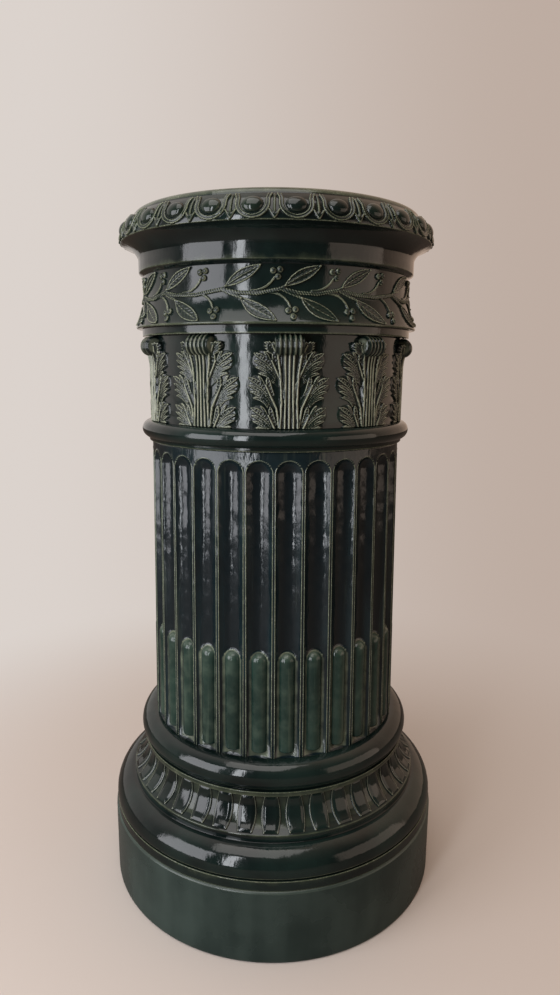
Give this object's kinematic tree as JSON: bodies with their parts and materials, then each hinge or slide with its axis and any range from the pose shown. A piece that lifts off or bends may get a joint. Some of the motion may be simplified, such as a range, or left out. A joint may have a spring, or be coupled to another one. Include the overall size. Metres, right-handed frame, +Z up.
{
  "type": "jardiniere on stand",
  "caption": "Glazed earthenware jardiniere with leaf, laurel and egg-and-dart relief, standing on a fluted column stand with a moulded round base.",
  "frame": {"origin": "centre of the plinth's foot, on the floor", "axes": "+Z up along the axis of pot and stand, front of the object towards -Y"},
  "size_m": [0.462, 0.462, 0.9],
  "materials": {
    "dark_glaze": "glossy dark green majolica glaze",
    "relief_glaze": "glossy green glaze that thins to olive on raised edges",
    "plinth_glaze": "satin mottled grey-green glaze"
  },
  "bodies": {
    "stand": {"plinth_ring": "plinth_glaze", "stand_base": "dark_glaze", "scotia_tongues": "relief_glaze", "stand_shaft": "dark_glaze", "flute_reeds": "relief_glaze"},
    "jardiniere": {"pot_body": "dark_glaze", "acanthus_leaf_01": "relief_glaze", "acanthus_leaf_02": "relief_glaze", "acanthus_leaf_03": "relief_glaze", "acanthus_leaf_04": "relief_glaze", "acanthus_leaf_05": "relief_glaze", "acanthus_leaf_06": "relief_glaze", "acanthus_leaf_07": "relief_glaze", "acanthus_leaf_08": "relief_glaze", "acanthus_leaf_09": "relief_glaze", "acanthus_leaf_10": "relief_glaze", "laurel_spray_1": "relief_glaze", "laurel_spray_2": "relief_glaze", "laurel_spray_3": "relief_glaze", "laurel_spray_4": "relief_glaze", "laurel_spray_5": "relief_glaze", "rim_eggs": "relief_glaze", "rim_collars": "relief_glaze", "rim_darts": "relief_glaze"}
  },
  "joints": [
    {"name": "pot_lift", "type": "slide", "parent": "stand", "child": "jardiniere", "axis": [0, 0, 1], "range_m": [0, 0.3]}
  ]
}
